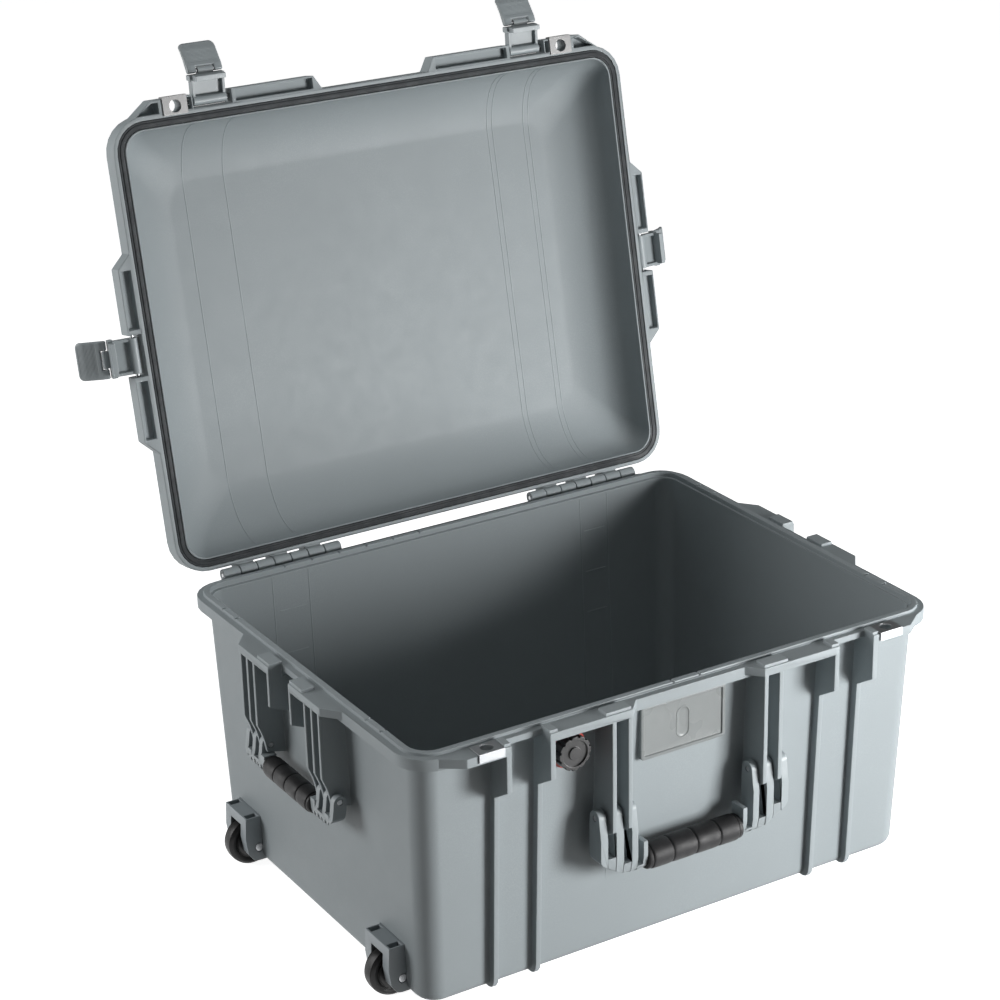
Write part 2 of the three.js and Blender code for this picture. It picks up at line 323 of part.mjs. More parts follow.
const dome = [[280, 269.5, 206.5, 24], [290, 267, 204, 28], [301, 261, 198, 34], [311, 250, 187, 42], [318, 235, 172, 48], [321.6, 218, 155, 52], [322.8, 203, 140, 54]];
let lid = union(rprism(FLANGE_X, FLANGE_Y, FLANGE_R, Z_LID, 284), loft(dome));
const lidCorner = [[-258, -214], [-236, -OUT_Y], [-LATCH_X - EAR_HALF, -OUT_Y], [-LATCH_X - EAR_HALF, -214]];
const lidShelf = [[-LATCH_X + EAR_HALF, -214], [-LATCH_X + EAR_HALF, -OUT_Y], [-66, -OUT_Y], [-58, -217], [-58, -214]];
const lidEnd = [[-95, -214], [-95, -217], [-82, -OUT_Y], [-EAR_HALF, -OUT_Y], [-EAR_HALF, -214]];
lid = union(lid, both(lidCorner, Z_LID, 282), both(lidShelf, Z_LID, 282));
for (const s of [-1, 1]) lid = union(lid, toEnd(both(lidEnd, Z_LID, 282), s));
// a lip that closes each latch seat behind the pivot
for (const x of [-LATCH_X, LATCH_X]) lid = union(lid, box(x - EAR_HALF - 1, x + EAR_HALF + 1, -217.9, -214, 268, 282));
for (const s of [-1, 1]) lid = union(lid, toEnd(box(-EAR_HALF - 1, EAR_HALF + 1, -217.9, -214, 268, 282), s));
// ribs over the dome, in line with the base's ribs
const domeY = [[-FLANGE_Y + 3, 282], [-210.5, 285], [-208, 296], [-202, 306.5], [-191, 316.6], [-175, 323.6], [-157, 327.2]];
const domeRib = [...domeY, ...domeY.map(([y, z]) => [-y, z]).reverse()].reverse();
for (const x of [LATCH_X + SEAT_HALF, LATCH_X - SEAT_HALF - RIB_T]) for (const [a, b] of [[x, x + RIB_T], [-x - RIB_T, -x]]) lid = union(lid, prismX(domeRib, a, b));
for (const s of [-1, 1]) for (let i = 1; i < KNUCKLES; i += 2) {
  const a = HINGE_X0 + i * KW + 0.4, b = HINGE_X0 + (i + 1) * KW - 0.4;
  lid = union(lid, knuckle(s > 0 ? a : -b, s > 0 ? b : -a, false));
}
// hollow: soft walls up to a flat ceiling
const soft = [[Z_LID - 1, 0, 20], [271, 0.5, 20], [279, 2.2, 20.5], [288, 5.6, 21.5], [297, 11.4, 23], [304.5, 19.4, 24.5], [310.5, 29.6, 26], [315, 41.6, 27], [317.4, 52, 27], [318, 58, 26]];
lid = cut(lid, loft(soft.map(([z, d, r]) => [z, 266.4 - d, 204 - d, r]), 6));
// groove for the seal
lid = cut(lid, cut(rprism(275.8, 213, 28.4, Z_LID - 1, 270.2), rprism(268.2, 205.4, 20.8, Z_LID - 2, 272)));
// pockets in the mating face: corner gussets, slots beside the ears, troughs behind the lugs
for (const s of [-1, 1]) {
  const p = [[-252, -217.4], [-235, -227.6], [-229, -227.6], [-229, -217.4]];
  lid = cut(lid, prismZ(s < 0 ? p : mirrorX(p), Z_LID - 1, Z_LID + 11));
  const q = s < 0 ? [-199.4, -195.2] : [195.2, 199.4];
  lid = cut(lid, box(q[0], q[1], -228.6, -217.4, Z_LID - 1, Z_LID + 11));
  const t = s < 0 ? [-149.4, -68] : [68, 149.4];
  lid = cut(lid, box(t[0], t[1], -228.4, -218.2, Z_LID - 1, Z_LID + 7));
  lid = cut(lid, toEnd(box(-80, -24.6, -228.4, -218.2, Z_LID - 1, Z_LID + 7), s), toEnd(box(24.6, 80, -228.4, -218.2, Z_LID - 1, Z_LID + 7), s));
  lid = cut(lid, cylZ(7, 260, 290, s * PLATE_X, -PLATE_Y, 20));
}
// bores for the latch pins and the hinge pins
const PY = -FLANGE_Y - LATCH_PIVOT_OUT;
for (const s of [-1, 1]) {
  lid = cut(lid, cylX(2.7, s * LATCH_X - EAR_HALF - 4.4, s * LATCH_X + EAR_HALF + 4.4, PY, LATCH_PIVOT_Z));
  lid = cut(lid, toEnd(cylX(2.7, -EAR_HALF - 4.4, EAR_HALF + 4.4, PY, LATCH_PIVOT_Z), s));
}
lid = cut(lid, cylX(2.6, -HINGE_X1 - 2, -HINGE_X0 + 2, HINGE_Y, HINGE_Z), cylX(2.6, HINGE_X0 - 2, HINGE_X1 + 2, HINGE_Y, HINGE_Z));
add("lid_shell", lid, M.shell, shut);
const ring = (o, i, r, z0, z1) => cut(rprism(OPEN_X + o, OPEN_Y + o, OPEN_R + o, z0, z1), rprism(OPEN_X + i, OPEN_Y + i, OPEN_R + i, z0 - 1, z1 + 1));
add("lid_seal", union(ring(7.8, 1.2, 0, 266.3, 269.8), ring(5.6, 3.2, 0, 265.4, 266.4)), M.rubber, shut);
add("lid_padlock_plate_left", plate(-1, 264.1, 265.2, 264.1, 271), M.steel, shut);
add("lid_padlock_plate_right", plate(1, 264.1, 265.2, 264.1, 271), M.steel, shut);

// ------------------------------------------------------------------- latches
// built latched about the pivot: z runs down the arm, -y is outwards
const HW = 17, PADW = 18.2, LV_U = 27.5, LV_V = 3.6, LATCH_LEN = 55.5;
let arm = union(
  cylX(5, -HW, HW, 0, 0, 18), box(-HW, HW, -5.2, -1.6, -20, -1), box(-HW, -HW + 3, -5.2, 2.6, -20, 0), box(HW - 3, HW, -5.2, 2.6, -20, 0),
  prismX([[-1.6, -18.6], [-6, -18.6], [-6.8, -19.6], [-6.8, -23.2], [-6, -24], [1.2, -24], [1.2, -19], [0, -18.6]], -PADW, PADW), box(-HW + 1.4, HW - 1.4, 0, 9.6, -24, -19.2),
  box(-8, 8, -6.4, -1, -LV_U, -23), cylX(2.8, -8, 8, -LV_V, -LV_U, 14));
arm = cut(arm, cylX(2.7, -30, 30, 0, 0, 14), cylX(2, -20, 20, -LV_V, -LV_U, 12));
// lever: tapered pad with finger ridges on both faces
const Z2 = -LATCH_LEN;
let lever = prismX([[-1.2, -25.4], [-4.8, -25.2], [-6.6, -26.6], [-7.2, -30], [-7.8, -38], [-9.4, -47], [-12.4, Z2 + 1.4], [-11.4, Z2], [-8.8, Z2 + 0.8], [-5.6, -47], [-3.4, -38], [-1.2, -31]], -PADW, PADW);
lever = union(lever, box(-PADW, -PADW + 2.4, -8, -0.6, -44, -29), box(PADW - 2.4, PADW, -8, -0.6, -44, -29));
for (const d of [41, 43.6, 46.2, 48.8, 51.4]) {
  const yo = d < 47 ? -7.8 - (d - 38) * 0.178 : -9.4 - (d - 47) * 0.42, yi = d < 47 ? -3.4 - (d - 38) * 0.244 : -5.6 - (d - 47) * 0.416;
  lever = union(lever, cylX(0.8, -PADW + 2, PADW - 2, yo, -d, 6), cylX(0.8, -PADW + 2, PADW - 2, yi, -d, 6));
}
// rounded outer corners of the pad
const nip = [[-PADW - 1, Z2 - 1], [-PADW + 4.6, Z2 - 1], [-PADW + 2, Z2 + 1], [-PADW + 0.5, Z2 + 3], [-PADW - 0.01, Z2 + 6], [-PADW - 1, Z2 + 6]];
lever = cut(lever, prismY(nip, -20, 5), prismY(mirrorX(nip), -20, 5), box(-8.6, 8.6, -12, 2, -31.2, -20), cylX(2, -17.6, 17.6, -LV_V, -LV_U, 12));
const latchPin = cylX(2.2, -EAR_HALF - 4, EAR_HALF + 4, 0, 0, 14), leverPin = cylX(1.6, -17, 17, -LV_V, -LV_U, 12);
const leverTurn = (m) => { const t = -LEVER_OPEN * Math.PI / 180; return solid(geom(m).translate(0, LV_V, LV_U).rotateX(t).translate(0, -LV_V, -LV_U)); };
const latches = [["front_left", -LATCH_X, 0, FRONT_LATCH_OPEN], ["front_right", LATCH_X, 0, FRONT_LATCH_OPEN], ["left_end", 0, -1, SIDE_LATCH_OPEN], ["right_end", 0, 1, SIDE_LATCH_OPEN]];
for (const [nm, x, side, open] of latches) {
  const g = new THREE.Group();
  if (side === 0) g.position.set(x, PY, LATCH_PIVOT_Z);
  else { g.position.set(side * (FLANGE_X + LATCH_PIVOT_OUT), 0, LATCH_PIVOT_Z); g.rotation.z = side * Math.PI / 2; }
  const t = new THREE.Group(); t.rotation.x = -open * Math.PI / 180; g.add(t); shut.add(g);
  add(`latch_arm_${nm}`, arm, M.trim, t);
  add(`latch_lever_${nm}`, leverTurn(lever), M.trim, t);
  add(`latch_pin_${nm}`, latchPin, M.steel, t);
  add(`lever_pin_${nm}`, leverPin, M.steel, t);
}

export default group;
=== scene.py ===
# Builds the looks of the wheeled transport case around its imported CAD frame.
import bpy, bmesh, json, math, random
from mathutils import Vector, Matrix


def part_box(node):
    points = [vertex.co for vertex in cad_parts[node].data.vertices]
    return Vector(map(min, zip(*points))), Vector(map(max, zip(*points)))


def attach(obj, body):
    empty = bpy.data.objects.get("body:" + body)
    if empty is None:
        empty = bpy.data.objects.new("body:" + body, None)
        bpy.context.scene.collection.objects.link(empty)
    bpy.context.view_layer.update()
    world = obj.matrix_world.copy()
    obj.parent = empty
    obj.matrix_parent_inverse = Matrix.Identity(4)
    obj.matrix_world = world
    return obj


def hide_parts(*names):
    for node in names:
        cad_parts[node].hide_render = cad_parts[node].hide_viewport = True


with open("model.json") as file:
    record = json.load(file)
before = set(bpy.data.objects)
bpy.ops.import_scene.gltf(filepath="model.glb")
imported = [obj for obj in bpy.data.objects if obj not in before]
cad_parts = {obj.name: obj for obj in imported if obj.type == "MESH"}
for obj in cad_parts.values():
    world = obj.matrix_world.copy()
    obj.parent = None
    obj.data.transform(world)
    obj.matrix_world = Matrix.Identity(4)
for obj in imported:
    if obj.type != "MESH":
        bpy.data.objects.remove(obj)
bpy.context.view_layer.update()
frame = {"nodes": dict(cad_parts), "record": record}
nodes = frame["nodes"]
body_of = {n: b for b, ns in frame["record"]["behaviour"]["bodies"].items() for n in ns}
MM = 0.001
scene = bpy.context.scene

# ------------------------------------------------------------------ camera
yaw, pitch, roll = math.radians(-31.75), math.radians(22.83), math.radians(-1.01)
back = Vector((math.sin(yaw) * math.cos(pitch), -math.cos(yaw) * math.cos(pitch), math.sin(pitch)))
right = Vector((math.cos(yaw), math.sin(yaw), 0))
up = back.cross(right)
r2 = math.cos(roll) * right + math.sin(roll) * up
u2 = -math.sin(roll) * right + math.cos(roll) * up
cam_data = bpy.data.cameras.new("camera")
cam_data.lens, cam_data.sensor_width = 96.40, 36
cam_data.shift_x, cam_data.shift_y = -0.0272, 0.0263
cam_data.clip_start, cam_data.clip_end = 0.05, 60
cam = bpy.data.objects.new("camera", cam_data)
m = Matrix((r2, u2, back)).transposed().to_4x4()
m.translation = Vector((-1.22527, -1.92966, 1.29799))
cam.matrix_world = m
scene.collection.objects.link(cam)
scene.camera = cam


# --------------------------------------------------------------- materials
def lin(r, g, b):
    f = lambda c: (c / 255 / 12.92) if c <= 10 else ((c / 255 + 0.055) / 1.055) ** 2.4
    return (f(r), f(g), f(b), 1)


class Mat:
    """A node tree with short helpers."""

    def __init__(self, name):
        self.m = bpy.data.materials.new(name)
        self.m.use_nodes = True
        self.t = self.m.node_tree
        self.b = self.t.nodes["Principled BSDF"]
        self.co = self.t.nodes.new("ShaderNodeTexCoord").outputs["Object"]

    def node(self, kind, **inputs):
        n = self.t.nodes.new(kind)
        for k, v in inputs.items():
            k = k.replace("_", " ")
            if hasattr(v, "is_linked"):
                self.t.links.new(v, n.inputs[k])
            else:
                n.inputs[k].default_value = v
        return n

    def noise(self, scale, detail=3, rough=0.55, vec=None):
        n = self.node("ShaderNodeTexNoise", Vector=vec or self.co, Scale=scale, Detail=detail, Roughness=rough)
        return n.outputs["Fac"]

    def ramp(self, fac, lo, hi, a=0.0, b=1.0):
        n = self.node("ShaderNodeMapRange")
        self.t.links.new(fac, n.inputs["Value"])
        n.inputs["From Min"].default_value, n.inputs["From Max"].default_value = lo, hi
        n.inputs["To Min"].default_value, n.inputs["To Max"].default_value = a, b
        return n.outputs["Result"]

    def mix(self, fac, a, b):
        n = self.t.nodes.new("ShaderNodeMix")
        n.data_type = "RGBA"
        for k, v in ((0, fac), (6, a), (7, b)):
            if hasattr(v, "is_linked"):
                self.t.links.new(v, n.inputs[k])
            else:
                n.inputs[k].default_value = v
        return n.outputs[2]

    def bump(self, *layers):
        """layers of (height, strength, distance), chained"""
        nrm = None
        for h, s, d in layers:
            n = self.node("ShaderNodeBump", Height=h, Strength=s, Distance=d)
            if nrm is not None:
                self.t.links.new(nrm, n.inputs["Normal"])
            nrm = n.outputs["Normal"]
        self.t.links.new(nrm, self.b.inputs["Normal"])

    def set(self, **kw):
        for k, v in kw.items():
            k = k.replace("_", " ")
            if hasattr(v, "is_linked"):
                self.t.links.new(v, self.b.inputs[k])
            else:
                self.b.inputs[k].default_value = v
        return self.m


def polymer(name, rgb, rough=0.42, grain=1.0, wear=0.35, spec=0.45):
    """Moulded polymer: fine spark-eroded texture, faint flow marks, rubbed edges."""
    M = Mat(name)
    base = lin(*rgb)
    dark = tuple(c * 0.93 for c in base[:3]) + (1,)
    light = tuple(min(1, c * 1.07 + 0.004) for c in base[:3]) + (1,)
    flow = M.ramp(M.noise(9, 4, 0.6), 0.35, 0.65)
    speck = M.ramp(M.noise(900, 2, 0.6), 0.42, 0.62)
    col = M.mix(flow, dark, light)
    col = M.mix(M.node("ShaderNodeMath", Value=speck).outputs[0], col, tuple(c * 0.97 for c in base[:3]) + (1,))
    geo = M.t.nodes.new("ShaderNodeNewGeometry")
    edge = M.ramp(geo.outputs["Pointiness"], 0.515, 0.56, 0.0, wear)
    col = M.mix(edge, col, tuple(min(1, c * 1.3 + 0.02) for c in base[:3]) + (1,))
    r = M.ramp(M.noise(60, 5, 0.65), 0.3, 0.7, rough - 0.03, rough + 0.05)
    M.bump((M.noise(1500, 3, 0.6), 0.12 * grain, 0.0006), (M.noise(260, 3, 0.5), 0.03, 0.0005))
    return M.set(Base_Color=col, Roughness=r, Specular_IOR_Level=spec)


def black_plastic(name, rgb=(44, 44, 45), rough=0.38, grain=1.0):
    M = Mat(name)
    base = lin(*rgb)
    dust = M.ramp(M.noise(35, 6, 0.7), 0.5, 0.75)
    col = M.mix(dust, base, tuple(c * 1.45 + 0.003 for c in base[:3]) + (1,))
    r = M.ramp(M.noise(90, 4, 0.6), 0.3, 0.7, rough - 0.06, rough + 0.1)
    M.bump((M.noise(1800, 2, 0.5), 0.10 * grain, 0.0005), (M.noise(120, 3, 0.5), 0.05, 0.0006))
    return M.set(Base_Color=col, Roughness=r, Specular_IOR_Level=0.5)


def rubber(name, rgb=(38, 38, 39), rough=0.5, grain=1.0):
    M = Mat(name)
    base = lin(*rgb)
    dust = M.ramp(M.noise(48, 7, 0.72), 0.48, 0.8)
    col = M.mix(dust, base, tuple(c * 1.7 + 0.004 for c in base[:3]) + (1,))
    r = M.ramp(M.noise(70, 5, 0.65), 0.3, 0.7, rough - 0.1, rough + 0.12)
    M.bump((M.noise(1100, 3, 0.6), 0.16 * grain, 0.0006), (M.noise(90, 3, 0.5), 0.06, 0.0008))
    return M.set(Base_Color=col, Roughness=r, Specular_IOR_Level=0.3)


def steel(name, rgb=(205, 207, 208), rough=0.24, along=(1, 40, 40)):
    M = Mat(name)
    mp = M.node("ShaderNodeMapping", Vector=M.co, Scale=along)
    streak = M.noise(60, 4, 0.6, vec=mp.outputs[0])
    base = lin(*rgb)
    col = M.mix(M.ramp(streak, 0.3, 0.7), tuple(c * 0.86 for c in base[:3]) + (1,), base)
    r = M.ramp(streak, 0.3, 0.7, rough - 0.05, rough + 0.12)
    M.bump((streak, 0.08, 0.0003), (M.noise(500, 2, 0.5), 0.03, 0.0003))
    return M.set(Base_Color=col, Roughness=r, Metallic=1.0)


shell_mat = polymer("shell_polymer", (150, 158, 161), 0.52, spec=0.36)
trim_mat = polymer("trim_polymer", (147, 155, 158), 0.38, 0.7, 0.5)
housing_mat = polymer("housing_polymer", (146, 154, 158), 0.4, 0.7, 0.5)
black_mat = black_plastic("black_plastic", (24, 24, 25), 0.34)
pull_mat = black_plastic("pull_plastic", (40, 40, 41), 0.45)
hub_mat = black_plastic("hub_plastic", (30, 30, 31), 0.34)
tyre_mat = rubber("tyre_rubber", (15, 15, 16), 0.38, 0.5)
grip_mat = rubber("grip_rubber", (34, 34, 35), 0.5, 1.2)
seal_mat = rubber("seal_rubber", (44, 48, 51), 0.55, 0.6)
plate_mat = steel("plate_steel", (176, 178, 180), 0.45)
lid_plate_mat = steel("lid_plate_steel", (132, 132, 132), 0.4)
pin_mat = steel("pin_steel", (190, 192, 194), 0.3)
tube_mat = steel("pull_tube", (196, 199, 202), 0.32, (1, 60, 60))


def red_plastic():
    M = Mat("valve_red")
    base = lin(196, 62, 48)
    col = M.mix(M.ramp(M.noise(60, 4), 0.4, 0.7), base, tuple(c * 0.85 for c in base[:3]) + (1,))
    M.bump((M.noise(900, 2), 0.06, 0.0004))
    return M.set(Base_Color=col, Roughness=M.ramp(M.noise(120, 3), 0.3, 0.7, 0.3, 0.42))


def clear_plastic():
    M = Mat("label_clear")
    base = lin(126, 130, 130)
    col = M.mix(M.ramp(M.noise(30, 4), 0.2, 0.9), base, tuple(min(1, c * 1.08) for c in base[:3]) + (1,))
    M.bump((M.noise(40, 2), 0.02, 0.0003), (M.noise(1300, 2), 0.012, 0.0002))
    return M.set(Base_Color=col, Roughness=M.ramp(M.noise(25, 2), 0.2, 0.8, 0.25, 0.30), Specular_IOR_Level=0.4)


red_mat, clear_mat = red_plastic(), clear_plastic()


# ----------------------------------------------------------------- meshes
def shade(me, angle=32):
    bm = bmesh.new(); bm.from_mesh(me)
    for f in bm.faces:
        f.smooth = True
    lim = math.radians(angle)
    for e in bm.edges:
        e.smooth = len(e.link_faces) == 2 and e.calc_face_angle(0) < lim
    bm.to_mesh(me); bm.free()


def link(name, me, mat, body, slot=None, *reps):
    o = bpy.data.objects.new(name, me)
    scene.collection.objects.link(o)
    me.materials.clear(); me.materials.append(mat)
    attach(o, body)
    if reps:
        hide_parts(*reps)
    return o


def refine(node, mat, width=0.0006, segs=2, angle=28, name=None, dissolve=0.2):
    """A copy of a CAD node with its flats merged and its sharp edges rounded."""
    src = nodes[node].data
    bm = bmesh.new(); bm.from_mesh(src)
    bmesh.ops.remove_doubles(bm, verts=bm.verts, dist=2e-6)
    if dissolve > 0:
        bmesh.ops.dissolve_limit(bm, angle_limit=math.radians(dissolve), verts=bm.verts, edges=bm.edges)
        bmesh.ops.dissolve_degenerate(bm, dist=1e-5, edges=bm.edges)
    lim = math.radians(angle)
    sharp = [e for e in bm.edges if len(e.link_faces) == 2 and e.calc_face_angle(0) > lim]
    if width > 0 and sharp:
        bmesh.ops.bevel(bm, geom=sharp, offset=width, offset_type="OFFSET", segments=segs, profile=0.5, affect="EDGES", clamp_overlap=False)
    bmesh.ops.remove_doubles(bm, verts=bm.verts, dist=2e-6)
    me = bpy.data.meshes.new(name or node + "_fine")
    bm.to_mesh(me); bm.free()
    shade(me, 40)
    o = link(name or node + "_fine", me, mat, body_of[node])
    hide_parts(node)
    wn = o.modifiers.new("wn", "WEIGHTED_NORMAL"); wn.keep_sharp = True; wn.weight = 60
    return o


MATS = {"shell_polymer": shell_mat, "latch_polymer": trim_mat, "handle_polymer": trim_mat, "housing_polymer": housing_mat, "tyre": tyre_mat,
        "hub_plastic": hub_mat, "grip_rubber": grip_mat, "seal_rubber": seal_mat, "plate_steel": plate_mat, "valve_plastic": black_mat,
        "valve_ring": red_mat, "label_clear": clear_mat, "pull_tube": tube_mat, "pull_plastic": pull_mat, "pin_steel": pin_mat}
SLOT = {s["node"]: s["material_slot"] for s in frame["record"]["subparts"]}
WIDTH = {"base_shell": 0.0007, "lid_shell": 0.0008, "lid_seal": 0.0004, **{"latch_lever_" + k: 0.0007 for k in ("front_left", "front_right", "left_end", "right_end")}}


def lathe(name, profile, axis, centre, segs, mat, body, slot, reps):
    """A closed ring swept about an axis: profile rows are (along, radius) in mm, a closed loop."""
    bm = bmesh.new()
    rings = []
    for k in range(segs):
        a = 2 * math.pi * k / segs
        ca, sa = math.cos(a), math.sin(a)
        ring = []
        for t, r in profile:
            v = (t, r * ca, r * sa) if axis == "x" else (r * ca, t, r * sa)
            ring.append(bm.verts.new((Vector(v) + Vector(centre)) * MM))
        rings.append(ring)
    n = len(profile)
    for k in range(segs):
        A, B = rings[k], rings[(k + 1) % segs]
        for i in range(n):
            bm.faces.new((A[i], A[(i + 1) % n], B[(i + 1) % n], B[i]))
    bmesh.ops.recalc_face_normals(bm, faces=bm.faces)
    me = bpy.data.meshes.new(name); bm.to_mesh(me); bm.free()
    shade(me, 30)
    return link(name, me, mat, body, slot, *reps)


def grip_profile(half, R, bore, cuts, collar):
    """Four crowned cushions between grooves, with a collar at each end."""
    pts = [(-half, bore), (-half, R - 2.2), (-half + 0.5, R - 1.4), (-half + 1.2, R - 1.0), (-half + collar - 0.4, R - 1.0), (-half + collar, R - 1.3), (-half + collar + 0.5, R - 1.3)]
    marks = [-half + collar + 0.5] + cuts + [half - collar - 0.5]
    for i in range(len(marks) - 1):
        a, b = marks[i] + (0.55 if i else 0), marks[i + 1] - (0.55 if i < len(marks) - 2 else 0)
        L = b - a
        for f, drop in ((0, 1.15), (0.012, 0.62), (0.035, 0.28), (0.09, 0.12), (0.25, 0.03), (0.5, 0.0), (0.75, 0.03), (0.91, 0.12), (0.965, 0.28), (0.988, 0.62), (1, 1.15)):
            pts.append((a + L * f, R - drop))
    pts += [(half - collar - 0.5, R - 1.3), (half - collar, R - 1.3), (half - collar + 0.4, R - 1.0), (half - 1.2, R - 1.0), (half - 0.5, R - 1.4), (half, R - 2.2), (half, bore)]
    out = [pts[0]]
    for q in pts[1:]:
        if abs(q[0] - out[-1][0]) + abs(q[1] - out[-1][1]) > 1e-4:
            out.append(q)
    return out


def mid(node):
    lo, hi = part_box(node)
    return [(a + b) / 2 * 1000 for a, b in zip(lo, hi)], [(b - a) * 1000 for a, b in zip(lo, hi)]


done = set()
c, d = mid("front_handle_grip")
lathe("front_grip_cushions", grip_profile(d[0] / 2, d[2] / 2, 7.5, [-25.5, 0, 25.5], 4.2), "x", c, 72, grip_mat, body_of["front_handle_grip"], "grip_rubber", ["front_handle_grip"])
done.add("front_handle_grip")
for sd in ("left", "right"):
    c, d = mid(sd + "_handle_grip")
    lathe(sd + "_grip_cushions", grip_profile(d[1] / 2, d[2] / 2, 5.9, [-22, 0, 22], 3.4), "y", c, 72, grip_mat, body_of[sd + "_handle_grip"], "grip_rubber", [sd + "_handle_grip"])
    done.add(sd + "_handle_grip")


def rrect(hx, hz, r, n=8):
    pts = []
    for sx, sz, a0 in ((1, 1, 0), (-1, 1, 90), (-1, -1, 180), (1, -1, 270)):
        for k in range(n + 1):
            a = math.radians(a0 + 90 * k / n)
            pts.append((sx * (hx - r) + r * math.cos(a), sz * (hz - r) + r * math.sin(a)))
    return pts


def nested(name, rows, centre, mat, body, slot, reps):
    """A closed plate facing -Y made of nested rounded loops: rows are (half x, half z, radius, y)."""
    bm = bmesh.new()
    loops = [[bm.verts.new(Vector(((centre[0] + x) * MM, y * MM, (centre[2] + z) * MM))) for x, z in rrect(hx, hz, r)] for hx, hz, r, y in rows]
    n = len(loops[0])
    for A, B in zip(loops, loops[1:]):
        for i in range(n):
            bm.faces.new((A[i], A[(i + 1) % n], B[(i + 1) % n], B[i]))
    bm.faces.new(loops[0]); bm.faces.new(loops[-1])
    bmesh.ops.recalc_face_normals(bm, faces=bm.faces)
    me = bpy.data.meshes.new(name); bm.to_mesh(me); bm.free()
    shade(me, 30)
    return link(name, me, mat, body, slot, *reps)


c, d = mid("label_window")
lo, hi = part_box("label_window")
yf, yb, hx, hz = lo[1] * 1000, hi[1] * 1000, d[0] / 2, d[2] / 2
nested("label_holder", [(hx, hz, 3.6, yb), (hx, hz, 3.6, yf + 0.9), (hx - 0.25, hz - 0.25, 3.4, yf + 0.3), (hx - 0.9, hz - 0.9, 2.9, yf), (hx - 2.9, hz - 2.9, 1.7, yf), (hx - 3.4, hz - 3.4, 1.4, yf + 0.35), (hx - 3.7, hz - 3.7, 1.2, yf + 1.3),
                        (hx - 4.6, hz - 4.6, 1.2, yf + 1.45), (7.4, 15.4, 7.3, yf + 1.45), (7.1, 15.1, 7.0, yf + 1.15), (6.5, 14.5, 6.4, yf + 1.15), (6.2, 14.2, 6.1, yf + 1.5), (5.4, 13.4, 5.3, yf + 1.8), (3.0, 11.0, 2.9, yf + 1.9)],
       c, clear_mat, body_of["label_window"], "label_clear", ["label_window"])
done.add("label_window")

# tyres: rounded tread, shallow shoulder groove, recessed side walls
for nm in ("front", "rear"):
    c, d = mid("wheel_tyre_" + nm)
    w, R = d[1] / 2, d[2] / 2
    bore = 17.2
    prof = [(-w + 1.4, bore), (-w + 0.9, bore + 1.2), (-w + 0.2, bore + 2.4), (-w, bore + 4.2), (-w + 0.35, R - 2.6), (-w + 1.1, R - 1.3), (-w + 2.3, R - 0.5), (-w + 2.6, R - 0.95), (-w + 3.1, R - 0.95), (-w + 3.4, R - 0.3), (-w / 2.6, R - 0.06), (0, R),
            (w / 2.6, R - 0.06), (w - 3.4, R - 0.3), (w - 3.1, R - 0.95), (w - 2.6, R - 0.95), (w - 2.3, R - 0.5), (w - 1.1, R - 1.3), (w - 0.35, R - 2.6), (w, bore + 4.2), (w - 0.2, bore + 2.4), (w - 0.9, bore + 1.2), (w - 1.4, bore)]
    lathe("tyre_%s_tread" % nm, prof, "y", c, 96, tyre_mat, body_of["wheel_tyre_" + nm], "tyre", ["wheel_tyre_" + nm])
    done.add("wheel_tyre_" + nm)

# moulded channel lines in the lid's ceiling, from lip to lip
OPEN, HY, HZ = math.radians(101.45), 223.7, 262.6
CO, SO = math.cos(OPEN), math.sin(OPEN)


def lid_point(x, y, z):
    """a point of the shut lid, in mm, carried to the open lid, in metres"""
    y, z = y - HY, z - HZ
    return Vector((x, HY + CO * y + SO * z, HZ - SO * y + CO * z)) * MM


soft = [(271, 0.5), (279, 2.2), (288, 5.6), (297, 11.4), (304.5, 19.4), (310.5, 29.6), (315, 41.6), (317.4, 52), (318, 58)]
path = [(-(204 - d), z) for z, d in soft] + [(y, 318) for y in (-100, -50, 0, 50, 100)] + [(204 - d, z) for z, d in reversed(soft)]
for tag, xs in (("left", (-150, -193)), ("right", (147, 153, 190, 196))):
    bm = bmesh.new()
    for x in xs:
        rings = []
        for i, (y, z) in enumerate(path):
            a, b = path[max(0, i - 1)], path[min(len(path) - 1, i + 1)]
            t = Vector((b[0] - a[0], b[1] - a[1])).normalized()
            nrm = Vector((t.y, -t.x))
            if nrm.dot(Vector((-y, 268 - z))) < 0:
                nrm = -nrm
            rings.append([bm.verts.new(lid_point(x + dx, y + nrm.x * h, z + nrm.y * h)) for dx, h in ((-0.8, -0.25), (-0.35, 0.34), (0.35, 0.34), (0.8, -0.25))])
        for A, B in zip(rings, rings[1:]):
            for k in range(4):
                bm.faces.new((A[k], A[(k + 1) % 4], B[(k + 1) % 4], B[k]))
        bm.faces.new(rings[0]); bm.faces.new(rings[-1])
    bmesh.ops.recalc_face_normals(bm, faces=bm.faces)
    me = bpy.data.meshes.new("lid_lines_" + tag); bm.to_mesh(me); bm.free()
    shade(me, 20)
    link("lid_lines_" + tag, me, shell_mat, "lid", "shell_polymer")

# latch levers: rounded pads with fine cross ridges, two knuckles beside the arm's own
def turn(y, z, deg):
    t = math.radians(deg)
    return y * math.cos(t) - z * math.sin(t), y * math.sin(t) + z * math.cos(t)


def latch_point(q, px, side, opened):
    """a point of the latched lever, in mm about the latch pivot, carried to where it rests"""
    x, y, z = q
    y, z = turn(y + 3.6, z + 27.5, -23)
    y, z = turn(y - 3.6, z - 27.5, -opened)
    if side == 0:
        return lid_point(px + x, -223.5 + y, 274 + z)
    return lid_point(side * 286.5 - side * y, side * x, 274 + z)


